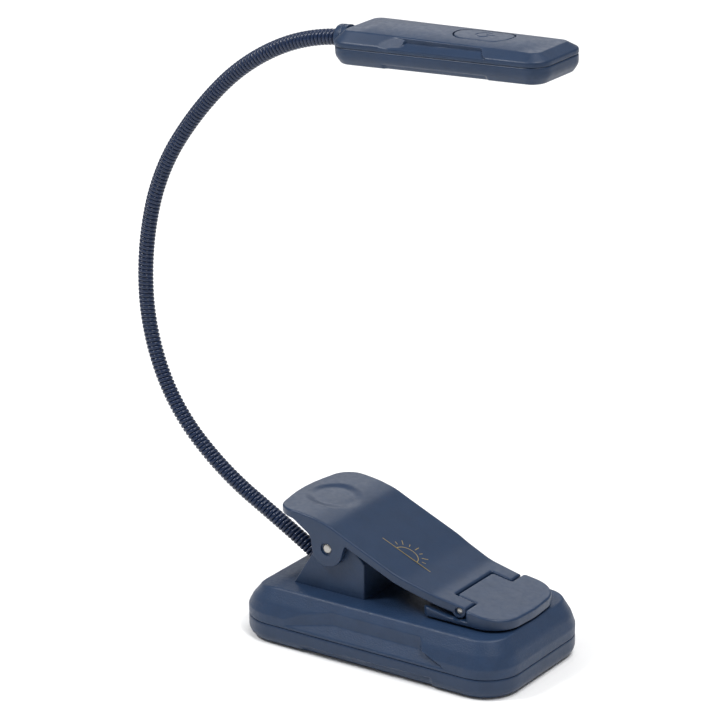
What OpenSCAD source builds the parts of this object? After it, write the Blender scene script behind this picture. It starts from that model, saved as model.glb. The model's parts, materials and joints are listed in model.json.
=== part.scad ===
// Clip-on reading lamp: a sprung clamp base, a bendable metal neck and a flat LED head.
// Frame: +X along the base towards the jaw tip, +Z up, origin on the underside of the base.

/* [Base] */
// Length of the base along X
base_l = 72; // [70:1:76]
// Width of the base along Y
base_w = 40.2; // [39:0.2:44]
// Height of the base without the tower
base_h = 13.4; // [13.2:0.2:14]
// Height of the joint line between the two base shells
base_split = 5.0; // [4.6:0.2:5.4]
// Wall thickness of the moulded shells
wall = 1.5; // [1.2:0.1:1.8]

/* [Clamp] */
// Overall width of the lever
lever_w = 28.2; // [27:0.2:30]
// Thickness of the lever's top plate
lever_t = 1.7; // [1.5:0.1:1.9]
// Radius of the main hinge pin
pin_r = 1.1; // [1:0.05:1.3]
// Radius of the jaw pad's hinge pin
jaw_pin_r = 0.7; // [0.6:0.05:0.8]

/* [Neck] */
// Outer radius of the neck tube
neck_r = 1.85; // [1.7:0.05:2]
// Arc length of one neck section
neck_step = 19.6; // [18:0.1:20]

/* [Head] */
// Length of the head
head_l = 54.4; // [50:0.2:60]
// Width of the head at its joint line
head_w = 19.2; // [18.8:0.2:22]

/* [Hidden] */
$fn = 48;
eps = 0.01;
fit = 0.05;        // radial clearance of a turning fit
slack = 0.25;      // side clearance between moving plastic parts

// --- base shells ---
base_r = 9.3;              // plan radius of the base's corners
band_h = 2.3;              // upright band above the joint line
top_inset = 2.0;           // how far the top face sits inside the outline
foot_inset = 2.8;          // how far the underside sits inside the outline
foot_h = 2.2;              // height of the rounded lower edge
boss_x = 27;
boss_y = 12;
boss_r = 2.3;
screw_r = 0.9;
screw_head_r = 1.8;

// --- tower and main hinge ---
pin_x = -14;
pin_z = 24.5;
tower_w = 24.4;            // width across the tower's side walls
tower_wall = 2.6;
tower_front = -4.9;
tower_back = -24.3;
crown_r = 3.3;             // radius of the tower's round top about the pin

// --- lever ---
ear_t = lever_w/2 - tower_w/2 - slack;
ear_r = 4.3;
lever_tail = -28.3;        // rear end of the lever
lever_nose = 22;           // front end of the lever's arms
nose_w = 23.6;             // width of the lever at its nose
tongue_w = 15.7;           // width of the slot for the jaw pad's tongue
slot_x = 16.8;             // rear end of that slot
skirt = 0.5;               // how far the lever's edge hangs below its plate
// Side line of the lever's top, rear to front
lever_line = [[lever_tail, 32.1], [-22.8, 32], [-18, 31.4], [-13.5, 30.2], [-10, 28.8],
              [6.6, 21.7], [14, 19.2], [lever_nose, 17.7]];

// --- jaw pad ---
jaw_x = 20.4;
jaw_z = 16.7;
lobe_r = 1.7;
pad_w = 26.4;
pad_tail = 11;
pad_tip = 33.7;
pad_z = 13.95;             // underside of the pad
pad_corner = 6.5;

// --- neck ---
neck_x = -26.9;
neck_z = 16.3;
neck_heading = 150;
neck_tail = 6;             // straight length inside the tower
neck_turns = [-2, 15.5, 25, 20.5, 15, 20, 11.5, 18.5, 23];
socket_r = 1.45;
ball_r = 1.38;
stem_r = 0.8;
spigot_r = 1.65;           // crimped end of the neck inside the head
leads_x = -20.2;           // where the leads drop from the tower into the base
gap_before = 0.1;          // parent end stops this far before the joint centre
gap_after = 0.75;          // child tube starts this far after it

// --- head ---
head_gap = 0.6;            // from the end of the neck's bend to the head's rear face
head_r = 4.5;
head_band = 1.2;
head_rise = [3.5, 2.7];    // height of the top's edge above the joint line, rear and front
head_crown = 0.9;          // extra height along the middle of the top
head_depth = 3.95;         // depth of the lower shell
head_wall = 1.1;
head_top_inset = 2.6;
button_x = 34.7;
button_l = 14;
button_w = 8;
button_gap = 0.25;
button_travel = 0.4;
lens_l = 40;
lens_w = 12;
lens_x = 29;
head_boss = [[7, 5.4], [50.9, 4.7]];   // screw bosses, along the head and either side
head_boss_r = 1.4;

function sum(v, n) = n <= 0 ? 0 : v[n - 1] + sum(v, n - 1);
function heading(k) = neck_heading - sum(neck_turns, k);
function chord(k) = let (a = neck_turns[k - 1], half = a*PI/360) neck_step*sin(a/2)/half;
function mid_heading(k) = heading(k - 1) - neck_turns[k - 1]/2;
function neck_point(k) = k == 0 ? [neck_x, neck_z]
    : neck_point(k - 1) + chord(k)*[cos(mid_heading(k)), sin(mid_heading(k))];
function arc(c, r, a0, a1, n = 8) = [for (i = [0:n]) c + r*[cos(a0 + (a1 - a0)*i/n), sin(a0 + (a1 - a0)*i/n)]];
function reversed(v) = [for (i = [len(v) - 1:-1:0]) v[i]];
function unit(v) = v/norm(v);

// Plan outline with round corners
module rounded_rect(l, w, r) {
    square([l - 2*r, w], center = true);
    square([l, w - 2*r], center = true);
    for (sx = [-1, 1], sy = [-1, 1])
        translate([sx*(l/2 - r), sy*(w/2 - r)]) circle(r = r);
}

// Upright rounded block from z0 to z1, set in from the base outline
module base_block(inset, z0, z1) {
    translate([0, 0, z0]) linear_extrude(z1 - z0)
        rounded_rect(base_l - 2*inset, base_w - 2*inset, base_r - inset*0.8);
}

// Block that narrows from one inset to another
module base_taper(in0, z0, in1, z1) {
    hull() {
        base_block(in0, z0, z0 + eps, $fn = 32);
        base_block(in1, z1 - eps, z1, $fn = 32);
    }
}

// Side profile in XZ, extruded to a width about Y = 0
module side_plate(w) {
    rotate([90, 0, 0]) linear_extrude(w, center = true) children();
}

// Bar along Y about Y = 0
module cross_bar(x, z, r, w) {
    translate([x, 0, z]) rotate([90, 0, 0]) cylinder(r = r, h = w, center = true);
}

// Round wire or cable through a list of points
module wire(path, r, sides = 8) {
    n = len(path);
    dirs = [for (i = [0:n - 1]) unit(path[min(i + 1, n - 1)] - path[max(i - 1, 0)])];
    side = [for (d = dirs) unit(cross(d, abs(d[1]) > 0.9 ? [1, 0, 0] : [0, 1, 0]))];
    points = [for (i = [0:n - 1], j = [0:sides - 1])
        path[i] + r*(cos(360*j/sides)*side[i] + sin(360*j/sides)*cross(dirs[i], side[i]))];
    walls = [for (i = [0:n - 2], j = [0:sides - 1])
        [i*sides + j, i*sides + (j + 1)%sides, (i + 1)*sides + (j + 1)%sides, (i + 1)*sides + j]];
    ends = [[for (j = [sides - 1:-1:0]) j], [for (j = [0:sides - 1]) (n - 1)*sides + j]];
    polyhedron(points, concat(walls, ends), convexity = 6);
}

// Places children on the neck's centre line, +X along it, at the start of section k
module at_neck(k) {
    p = neck_point(k - 1);
    translate([p[0], 0, p[1]]) rotate([0, -heading(k - 1), 0]) children();
}

// Curved neck tube of section k, between two arc lengths from its start
module neck_arc(k, s0, s1, r) {
    turn = neck_turns[k - 1];
    bend_r = neck_step*180/(PI*abs(turn));
    bend = sign(turn);
    at_neck(k) translate([0, 0, -bend*bend_r])
        rotate([90, 0, 0]) rotate([0, 0, bend > 0 ? 90 - s1/neck_step*turn : -90 - s0/neck_step*turn])
            rotate_extrude(angle = (s1 - s0)/neck_step*abs(turn)) translate([bend_r, 0]) circle(r = r);
}

module neck_section(k) {
    color([0.16, 0.21, 0.33]) difference() {
        union() {
            neck_arc(k, k == 1 ? 0 : gap_after, k == 9 ? neck_step : neck_step - gap_before, neck_r);
            if (k == 1) at_neck(1) rotate([0, -90, 0]) cylinder(r = neck_r, h = neck_tail);
            if (k > 1) at_neck(k) {
                sphere(r = ball_r);
                rotate([0, 90, 0]) cylinder(r = stem_r, h = gap_after + 0.2);
            }
            if (k == 9) at_neck(10) translate([-0.5, 0, 0]) rotate([0, 90, 0]) cylinder(r = spigot_r, h = 4);
        }
        if (k < 9) at_neck(k + 1) sphere(r = socket_r);
    }
}

// Repeats children at the four screw bosses of the base
module at_bosses() {
    for (sx = [-1, 1], sy = [-1, 1]) translate([sx*boss_x, sy*boss_y, 0]) children();
}

module base_cover() {
    color([0.2, 0.27, 0.38]) difference() {
        union() {
            base_block(0, base_split, base_split + band_h);
            base_taper(0, base_split + band_h - eps, top_inset, base_h);
            side_plate(tower_w) tower_side();
        }
        difference() {
            base_block(2*wall, base_split - 1, base_h - wall);
            at_bosses() translate([0, 0, base_split]) cylinder(r = boss_r, h = base_h);
            translate([tower_back, -tower_w/2, base_h - wall - 1.2])
                cube([tower_front - tower_back, tower_w, 2]);
        }
        side_plate(tower_w - 2*tower_wall) spring_bay();
        cross_bar(pin_x, pin_z, pin_r + fit, tower_w + 2);
        at_neck(1) rotate([0, 90, 0]) cylinder(r = neck_r + 0.7, h = 14, center = true);
        translate([pad_tip - 10.2, 0, base_h - 0.7 + 5]) cube([20.4, 23.4, 10], center = true);
        at_bosses() translate([0, 0, base_split - 1]) cylinder(r = screw_r + fit, h = 6);
        translate([-base_l/2, 0, 8.2]) rotate([90, 0, 90])
            linear_extrude(12, center = true) rounded_rect(9.2, 3.5, 1.7);
        translate([-base_l/2, 8.5, 8.2]) rotate([0, 90, 0]) cylinder(r = 0.95, h = 12, center = true);
        translate([leads_x, 0, base_h - 4]) cylinder(r = 1, h = 4);
    }
}

// Side outline of the tower: slanted back, round top over the pin, small front bevel
module tower_side() {
    polygon(concat(
        [[tower_back, base_h - 0.5], [tower_back, base_h]],
        [[-18.6, 22.6]],
        arc([pin_x, pin_z], crown_r, 165, 60),
        [[-7.4, 24.1], [-5.6, 22.8], [tower_front, 21.9], [tower_front, base_h - 0.5]]));
}

// Space between the tower's walls for the spring
module spring_bay() {
    polygon([[-19.2, base_h + 2.6], [-16.6, 20], [-17.6, 22], [-17.6, 30], [-7.5, 30], [-7.5, base_h + 2.6]]);
}

module base_tray() {
    color([0.19, 0.25, 0.36]) difference() {
        union() {
            base_taper(foot_inset, 0, 0.15, foot_h);
            base_block(0.15, foot_h - eps, base_split);
        }
        difference() {
            base_block(foot_inset, wall, base_split + 1);
            at_bosses() cylinder(r = boss_r, h = base_split);
        }
        at_bosses() translate([0, 0, -1]) {
            cylinder(r = screw_r + 0.2, h = 8);
            cylinder(r = screw_head_r + 0.2, h = 1.8);
        }
    }
}

module base_screws() {
    color("silver") at_bosses() difference() {
        translate([0, 0, 0.1]) {
            cylinder(r = screw_head_r, h = 0.7);
            cylinder(r = screw_r, h = 9);
        }
        cube([2.2, 0.5, 0.7], center = true);
        cube([0.5, 2.2, 0.7], center = true);
    }
}

module battery() {
    color([0.75, 0.76, 0.78]) translate([3, 0, wall + 0.1]) {
        linear_extrude(4.6) rounded_rect(36, 26, 2);
        translate([-18.5, 0, 2.3]) cube([1.6, 20, 1], center = true);
    }
}

module charge_board() {
    color([0.1, 0.35, 0.2]) translate([-32.6, -9, 5.6]) cube([16.6, 18, 0.9]);
    color([0.1, 0.1, 0.1]) translate([-22.4, -6, 6.49]) cube([4, 4, 1]);
    color([0.8, 0.7, 0.5]) translate([-21, 3.4, 6.49]) cube([3, 1.6, 0.8]);
}

module charge_socket() {
    color("silver") translate([-34.4, 0, 8.2]) rotate([90, 0, 90]) {
        difference() {
            linear_extrude(9) rounded_rect(8.9, 3.2, 1.55);
            translate([0, 0, -1]) linear_extrude(9) rounded_rect(8.3, 2.6, 1.25);
        }
        translate([-3.2, -0.35, 1.5]) cube([6.4, 0.7, 7]);
    }
}

module charge_light_pipe() {
    color([0.85, 0.9, 0.95]) translate([-35.2, 8.5, 8.2]) rotate([0, 90, 0]) cylinder(r = 0.9, h = 9);
}

module base_grip() {
    color([0.12, 0.14, 0.2]) translate([pad_tip - 10.2, 0, base_h - 0.7]) linear_extrude(0.75)
        square([20.2, 23.2], center = true);
}

module base_leads() {
    tail = neck_point(0) - (neck_tail + 0.1)*[cos(neck_heading), sin(neck_heading)];
    color("crimson") wire([[tail[0], 0, tail[1]], [tail[0] + 0.9, 0, tail[1] - 0.7],
        [leads_x, 0, 11.4], [leads_x, 0, 9.4], [leads_x + 0.2, 0, 8], [leads_x + 0.4, 0, 6.55]], 0.55);
}

module main_pin() {
    color("silver") cross_bar(pin_x, pin_z, pin_r, lever_w - 0.3);
}

module clamp_spring() {
    coil_r = 2.5;
    wire_r = 0.45;
    a0 = -64;
    a1 = 72;
    turns = 7 + (a1 - a0)/360;
    span = 9.6;
    steps = 20*7;
    coil = [for (i = [0:steps]) let (a = a0 + 360*turns*i/steps)
        [pin_x + coil_r*cos(a), -span/2 + span*i/steps, pin_z + coil_r*sin(a)]];
    foot = coil[0] + 4*[sin(a0), 0, -cos(a0)];
    hook = coil[steps] + 9.3*[-sin(a1), 0, cos(a1)];
    color([0.7, 0.7, 0.72]) wire(concat([foot], coil, [hook]), wire_r);
}

module neck_root_collar() {
    color([0.2, 0.22, 0.26]) at_neck(1) rotate([0, -90, 0]) translate([0, 0, 0.9]) difference() {
        cylinder(r = neck_r + 0.65, h = 4.4);
        translate([0, 0, -1]) cylinder(r = neck_r + 0.02, h = 8);
    }
}

// Plan outline of the lever: round tail, parallel sides, tapered nose
module lever_plan() {
    half = lever_w/2;
    side = concat(
        arc([lever_tail + 5.4, half - 5], 5, 172, 90),
        [[4, half], [13, nose_w/2 + 0.7], [lever_nose, nose_w/2]]);
    polygon(concat(side, reversed([for (p = side) [p[0], -p[1]]])));
}

// Side outline of the lever's plate, thickened downwards
module lever_side(depth) {
    polygon(concat(lever_line, reversed([for (p = lever_line) p - [0, depth]])));
}

// Side outline of one ear: hangs below the plate round the pin
module ear_side() {
    polygon(concat(
        [[-26.5, 31.5], [-22.8, 29.4], [-19.6, 27.6]],
        arc([pin_x, pin_z], ear_r, 160, 395, 14),
        [[-8.2, 27.6], [-10.4, 28.6], [-13.5, 30], [-18, 31.2], [-22.8, 31.8]]));
}

module lever() {
    color([0.2, 0.27, 0.38]) difference() {
        union() {
            intersection() {
                side_plate(lever_w) lever_side(lever_t);
                translate([0, 0, -1]) linear_extrude(60) lever_plan();
            }
            intersection() {
                difference() {
                    side_plate(lever_w) lever_side(lever_t + skirt);
                    translate([-30, -tower_w/2 - slack, 0]) cube([60, tower_w + 2*slack, 60]);
                }
                translate([0, 0, -1]) linear_extrude(60) lever_plan();
            }
            for (sy = [-1, 1]) translate([0, sy*(lever_w - ear_t)/2, 0]) side_plate(ear_t) ear_side();
            for (sy = [-1, 1]) translate([0, sy*(nose_w + tongue_w)/4, 0])
                cross_bar(jaw_x, jaw_z, lobe_r, (nose_w - tongue_w)/2);
        }
        translate([slot_x, -tongue_w/2, 0]) cube([20, tongue_w, 60]);
        cross_bar(pin_x, pin_z, pin_r + fit, lever_w + 2);
        for (sy = [-1, 1]) translate([pin_x, sy*lever_w/2, pin_z]) rotate([90, 0, 0])
            cylinder(r = pin_r + 0.45, h = 0.7, center = true);
        cross_bar(jaw_x, jaw_z, jaw_pin_r + fit, lever_w + 2);
        translate([-21.5, 0, 31.2 + 40]) sphere(r = 40, $fn = 96);
    }
}

module jaw_pin() {
    color("silver") cross_bar(jaw_x, jaw_z, jaw_pin_r, nose_w - 0.3);
}

// Plan outline of the jaw pad's plate
module pad_plan() {
    half = pad_w/2;
    side = concat(
        [[pad_tail, half - 1.5], [pad_tail + 1, half - 0.5], [pad_tail + 2, half]],
        arc([pad_tip - pad_corner, half - pad_corner], pad_corner, 90, 0));
    polygon(concat(side, reversed([for (p = side) [p[0], -p[1]]])));
}

module jaw_pad() {
    color([0.2, 0.27, 0.38]) difference() {
        intersection() {
            union() {
                side_plate(pad_w) polygon([[pad_tail, pad_z], [pad_tail, 16.0], [12, 16.2],
                    [18.4, 15.0], [18.4, pad_z]]);
                side_plate(pad_w) polygon([[18.3, pad_z], [18.3, 15.0], [lever_nose + 0.4, 15.0],
                    [lever_nose + 0.4, 17.6], [pad_tip, 16.1], [pad_tip, pad_z]]);
                side_plate(tongue_w - 2*slack) polygon([[18, pad_z], [slot_x + 0.5, 15.4],
                    [slot_x + 0.5, 18.5], [lever_nose + 1, 17.5], [lever_nose + 1, pad_z]]);
            }
            linear_extrude(60) pad_plan();
        }
        for (sy = [-1, 1]) translate([0, sy*(pad_w + tongue_w)/4, 0])
            cross_bar(jaw_x, jaw_z, lobe_r + 0.3, (pad_w - tongue_w)/2 + 0.4);
        cross_bar(jaw_x, jaw_z, jaw_pin_r + fit, pad_w + 2);
        translate([13.2, -11.1, pad_z - 1]) cube([18.4, 22.2, 1.55]);
    }
}

module jaw_grip() {
    color([0.12, 0.14, 0.2]) translate([13.3, -11, 13.6]) cube([18.2, 22, 0.85]);
}

// Places children in the head's frame: X along the head from its rear face, Z up from its joint line
module at_head() {
    at_neck(10) translate([head_gap, 0, 0]) children();
}

module head_block(inset, z0, z1) {
    translate([head_l/2, 0, z0]) linear_extrude(z1 - z0)
        rounded_rect(head_l - 2*inset, head_w - 2*inset, head_r - inset*0.6);
}

// Outer skin of the upper head shell, from its band to the crowned, gently falling top
module head_skin() {
    head_block(0, 0, head_band);
    hull() {
        head_block(0, head_band - 2*eps, head_band - eps, $fn = 32);
        for (end = [0, 1])
            translate([end == 0 ? head_top_inset + 2 : head_l - head_top_inset - 2, 0, head_rise[end]]) {
                for (sy = [-1, 1]) translate([0, sy*(head_w/2 - head_top_inset - 2), 0])
                    cylinder(r = 2, h = eps, $fn = 24);
                translate([0, 0, head_crown]) cube([2, 6, eps], center = true);
            }
    }
}

module button_outline(extra) {
    translate([button_x, 0]) rounded_rect(button_l + 2*extra, button_w + 2*extra, button_w/2 + extra - eps);
}

// Repeats children at the four screw bosses of the head
module at_head_bosses() {
    for (b = head_boss, sy = [-1, 1]) translate([b[0], sy*b[1], 0]) children();
}

module head_top() {
    color([0.2, 0.27, 0.38]) at_head() difference() {
        head_skin();
        difference() {
            head_block(head_wall, -1, 1.6);
            at_head_bosses() cylinder(r = head_boss_r, h = 5);
        }
        translate([head_l/2, 0, 1.59]) linear_extrude(0.9) rounded_rect(head_l - 9, head_w - 8.4, 2.5);
        linear_extrude(20) button_outline(button_gap);
        rotate([0, 90, 0]) cylinder(r = neck_r + 0.05, h = 9, center = true);
        at_head_bosses() translate([0, 0, -1]) cylinder(r = 0.6 + fit, h = 3);
    }
}

module head_bottom() {
    color([0.19, 0.25, 0.36]) at_head() difference() {
        union() {
            hull() {
                head_block(0.1, -2.2, -2.2 + eps, $fn = 32);
                head_block(1.5, -head_depth, -head_depth + eps, $fn = 32);
            }
            head_block(0.1, -2.2, 0);
        }
        difference() {
            head_block(head_wall + 0.6, -head_depth + 1.1, 1);
            translate([0, 0, -head_depth]) at_head_bosses() cylinder(r = head_boss_r, h = head_depth);
        }
        translate([lens_x, 0, -head_depth - 1]) linear_extrude(4) rounded_rect(lens_l + 0.1, lens_w + 0.1, 2);
        rotate([0, 90, 0]) cylinder(r = neck_r + 0.05, h = 9, center = true);
        translate([0, 0, -head_depth - 1]) at_head_bosses() {
            cylinder(r = 0.7, h = 8);
            cylinder(r = 1.3, h = 1.5);
        }
    }
}

module head_screws() {
    color("silver") at_head() translate([0, 0, 0.05 - head_depth]) at_head_bosses() {
        cylinder(r = 1.15, h = 0.4);
        cylinder(r = 0.6, h = 5.6);
    }
}

module led_board() {
    color([0.9, 0.9, 0.88]) at_head() translate([lens_x - 19, -5, -1.5]) cube([36, 10, 0.8]);
}

module leds() {
    color([1, 0.95, 0.7]) at_head() for (i = [0:4])
        translate([lens_x - 16 + 8*i, 0, -1.85]) cube([2.8, 2.8, 0.7], center = true);
}

module lens() {
    color([0.95, 0.96, 0.98]) at_head() translate([lens_x, 0, -head_depth + 0.05])
        linear_extrude(1.0) rounded_rect(lens_l, lens_w, 2);
}

module button_switch() {
    color([0.15, 0.15, 0.16]) at_head() {
        translate([button_x - 3, -3, -0.7]) cube([6, 6, 1.6]);
        translate([button_x, 0, 0.8]) cylinder(r = 1.2, h = 0.5);
    }
}

module head_leads() {
    color("crimson") at_head() wire([[2.95, 0, 0], [5, 0, 0], [8, 0, -0.2], [11, 0, -0.38]], 0.3);
}

module head_collar() {
    color([0.2, 0.27, 0.38]) at_head() translate([-3, 0, 0]) rotate([0, 90, 0]) difference() {
        cylinder(r = 3, h = 2.95);
        translate([0, 0, -1]) cylinder(r = neck_r + 0.15, h = 6);
    }
}

module power_button() {
    color([0.2, 0.27, 0.38]) at_head() {
        intersection() {
            head_skin();
            translate([0, 0, 2.2]) linear_extrude(10) button_outline(0);
        }
        translate([0, 0, 1.75]) linear_extrude(0.6) button_outline(0.8);
    }
}

base_cover();
base_tray();
base_screws();
battery();
charge_board();
charge_socket();
charge_light_pipe();
base_grip();
base_leads();
main_pin();
clamp_spring();
neck_root_collar();
neck_section(1);  // neck_1
lever();
jaw_pin();
jaw_pad();
jaw_grip();
neck_section(2);  // neck_2
neck_section(3);  // neck_3
neck_section(4);  // neck_4
neck_section(5);  // neck_5
neck_section(6);  // neck_6
neck_section(7);  // neck_7
neck_section(8);  // neck_8
neck_section(9);  // neck_9
head_collar();
head_top();
head_bottom();
head_screws();
led_board();
leds();
lens();
button_switch();
head_leads();
power_button();
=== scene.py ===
"""Looks of the clip-on reading lamp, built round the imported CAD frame.

Lengths are in millimetres until a mesh is made; lights and camera are in metres.
"""
import json
import math

import bmesh
import bpy
import numpy as np
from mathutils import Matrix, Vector, geometry

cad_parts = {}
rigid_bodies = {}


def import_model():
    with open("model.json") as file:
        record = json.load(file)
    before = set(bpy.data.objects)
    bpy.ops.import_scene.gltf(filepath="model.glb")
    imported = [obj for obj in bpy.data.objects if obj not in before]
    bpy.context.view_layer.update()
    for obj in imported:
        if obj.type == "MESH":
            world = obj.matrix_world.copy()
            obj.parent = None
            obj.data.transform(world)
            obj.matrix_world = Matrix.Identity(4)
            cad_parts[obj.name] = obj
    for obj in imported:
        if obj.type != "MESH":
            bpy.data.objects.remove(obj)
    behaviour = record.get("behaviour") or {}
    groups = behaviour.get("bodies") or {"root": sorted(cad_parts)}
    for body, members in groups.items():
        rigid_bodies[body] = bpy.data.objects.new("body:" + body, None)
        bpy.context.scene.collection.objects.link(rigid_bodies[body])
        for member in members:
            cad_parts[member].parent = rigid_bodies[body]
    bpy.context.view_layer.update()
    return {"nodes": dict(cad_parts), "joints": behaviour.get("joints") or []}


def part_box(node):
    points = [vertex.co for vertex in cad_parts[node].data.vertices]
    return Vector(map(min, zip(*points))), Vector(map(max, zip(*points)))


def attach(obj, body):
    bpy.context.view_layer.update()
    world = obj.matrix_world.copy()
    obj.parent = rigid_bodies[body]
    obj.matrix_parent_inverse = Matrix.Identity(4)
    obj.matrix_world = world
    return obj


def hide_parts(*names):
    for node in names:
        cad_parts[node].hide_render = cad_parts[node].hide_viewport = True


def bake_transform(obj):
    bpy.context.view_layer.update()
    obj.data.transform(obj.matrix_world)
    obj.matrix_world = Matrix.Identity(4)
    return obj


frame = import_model()
MM = 0.001


def box_mm(node):
    """Lowest and highest corner of a CAD node, in millimetres."""
    low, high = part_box(node)
    return np.array(low) / MM, np.array(high) / MM


def joint_place(name):
    """Place of a hinge in the middle plane, as x and z in millimetres."""
    place = next(j["pos_m"] for j in frame["joints"] if j["name"] == name)
    return np.array(place)[[0, 2]] / MM


# --- sizes that several pieces share -------------------------------------------------------
base_low, base_high = box_mm("base_tray")
BASE_L = base_high[0] - base_low[0] + 0.3
BASE_HALF_W = (base_high[1] - base_low[1]) / 2 + 0.15
BASE_CORNER = 9.3
SPLIT_Z = base_high[2]                       # joint line of the two base shells
DECK_Z = box_mm("base_grip")[1][2] - 0.05    # flat top of the base
PIN = joint_place("lever_hinge")
JAW_PIN = joint_place("jaw_swivel")
PIN_R = 1.1
JAW_PIN_R = 0.7
PIN_PLAY = 0.05        # clearance round both pins
LEVER_HALF_W = box_mm("lever")[1][1]
TOWER_HALF_W = 12.2
EAR_T = LEVER_HALF_W - TOWER_HALF_W - 0.25

NECK_START = np.array([-26.9, 16.3])
NECK_HEADING = 150.0
NECK_STEP = 19.6
NECK_TURNS = [-2, 15.5, 25, 20.5, 15, 20, 11.5, 18.5, 23]
NECK_R = 1.85
NECK_TAIL = 6.0

HEAD_L = 54.4
HEAD_HALF_W = 9.6
HEAD_CORNER = 4.5
HEAD_GAP = 0.6
HEAD_BAND = 1.2
HEAD_RISE = (3.5, 2.7)
HEAD_CROWN = 0.9
HEAD_NOMINAL = 3.1
HEAD_DEPTH = 3.95
HEAD_GROOVE_WALL = 2.35
FOLD_INSET = 2.6
BUTTON_X = 34.7


# --- outlines ------------------------------------------------------------------------------
def rounded(corners, pitch, closed=True, turn=7.5):
    """Points every pitch along straight lines between (x, y, radius) corners, with arcs at the corners."""
    points = [np.array(c[:2], float) for c in corners]
    count = len(corners)
    parts = []
    for i in range(count):
        p, radius = points[i], corners[i][2]
        if radius == 0 or (not closed and i in (0, count - 1)):
            parts.append([p])
            continue
        a, b = points[i - 1] - p, points[(i + 1) % count] - p
        a, b = a / np.linalg.norm(a), b / np.linalg.norm(b)
        half = math.acos(np.clip(a @ b, -1, 1)) / 2
        start, end = p + a * radius / math.tan(half), p + b * radius / math.tan(half)
        centre = p + (a + b) / np.linalg.norm(a + b) * radius / math.sin(half)
        first = math.atan2(*(start - centre)[::-1])
        sweep = (math.atan2(*(end - centre)[::-1]) - first + math.pi) % (2 * math.pi) - math.pi
        steps = max(2, math.ceil(math.degrees(abs(sweep)) / turn))
        angles = [first + sweep * k / steps for k in range(steps + 1)]
        parts.append([centre + radius * np.array([math.cos(t), math.sin(t)]) for t in angles])
    line = []
    for i in range(count if closed else count - 1):
        line += parts[i]
        start, end = parts[i][-1], parts[(i + 1) % count][0]
        extra = int(np.linalg.norm(end - start) / pitch)
        line += [start + (end - start) * k / (extra + 1) for k in range(1, extra + 1)]
    return np.array(line if closed else line + parts[-1])


def rounded_box(length, half_w, radius, pitch, x0=0.0):
    """Anticlockwise rounded rectangle from x0 to x0 + length."""
    x1 = x0 + length
    corners = [(x0, -half_w, radius), (x1, -half_w, radius), (x1, half_w, radius), (x0, half_w, radius)]
    return rounded(corners, pitch)


def circle(x, y, radius):
    """Round outline of 32 points."""
    angles = np.linspace(0, 2 * math.pi, 33)[:-1]
    return np.array([(radius * math.cos(a) + x, radius * math.sin(a) + y) for a in angles])


def inset(loop, distance):
    """The loop moved inwards: corners by their mitres, points on straight stretches evenly between them."""
    before, after = loop - np.roll(loop, 1, 0), np.roll(loop, -1, 0) - loop
    lengths = np.linalg.norm(after, axis=1)
    before, after = before / np.linalg.norm(before, axis=1)[:, None], after / lengths[:, None]
    left_a, left_b = before[:, ::-1] * (-1, 1), after[:, ::-1] * (-1, 1)
    moved = loop + distance * (left_a + left_b) / (1 + (left_a * left_b).sum(1))[:, None]
    turns = np.abs(before[:, 0] * after[:, 1] - before[:, 1] * after[:, 0]) > 1e-5
    places = np.concatenate([[0], np.cumsum(lengths)])
    keys = np.flatnonzero(turns)
    at = np.concatenate([places[keys], [places[keys[0]] + places[-1]]])
    here = places[:-1] + np.where(places[:-1] < at[0], places[-1], 0)
    corner = np.concatenate([moved[keys], moved[keys[:1]]])
    return np.column_stack([np.interp(here, at, corner[:, i]) for i in (0, 1)])


def smoothed(points, blur, step=0.1):
    """Height as a function of x through the points, with its corners softened over blur."""
    xs = np.arange(points[0][0] - 4 * blur, points[-1][0] + 4 * blur, step)
    heights = np.interp(xs, [p[0] for p in points], [p[1] for p in points])
    reach = int(3 * blur / step)
    weights = np.exp(-0.5 * (np.arange(-reach, reach + 1) * step / blur) ** 2)
    padded = np.pad(heights, reach, mode="edge")
    heights = np.convolve(padded, weights / weights.sum(), mode="valid")
    return lambda x: np.interp(x, xs, heights)


def ramp(x, start, end):
    """0 before start, 1 after end, smooth between."""
    t = np.clip((x - start) / (end - start), 0, 1)
    return t * t * (3 - 2 * t)


# --- meshes --------------------------------------------------------------------------------
def finish_normals(mesh, sharp=38):
    """Faces outwards, smooth shading, and sharp edges kept."""
    bm = bmesh.new()
    bm.from_mesh(mesh)
    bmesh.ops.remove_doubles(bm, verts=bm.verts, dist=2e-6)
    bmesh.ops.recalc_face_normals(bm, faces=bm.faces)
    bm.to_mesh(mesh)
    bm.free()
    mesh.shade_smooth()
    mesh.set_sharp_from_angle(angle=math.radians(sharp))


def make_object(name, verts, faces):
    mesh = bpy.data.meshes.new(name)
    mesh.from_pydata((np.asarray(verts, float) * MM).tolist(), [], faces)
    finish_normals(mesh)
    obj = bpy.data.objects.new(name, mesh)
    bpy.context.scene.collection.objects.link(obj)
    return obj


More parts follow.
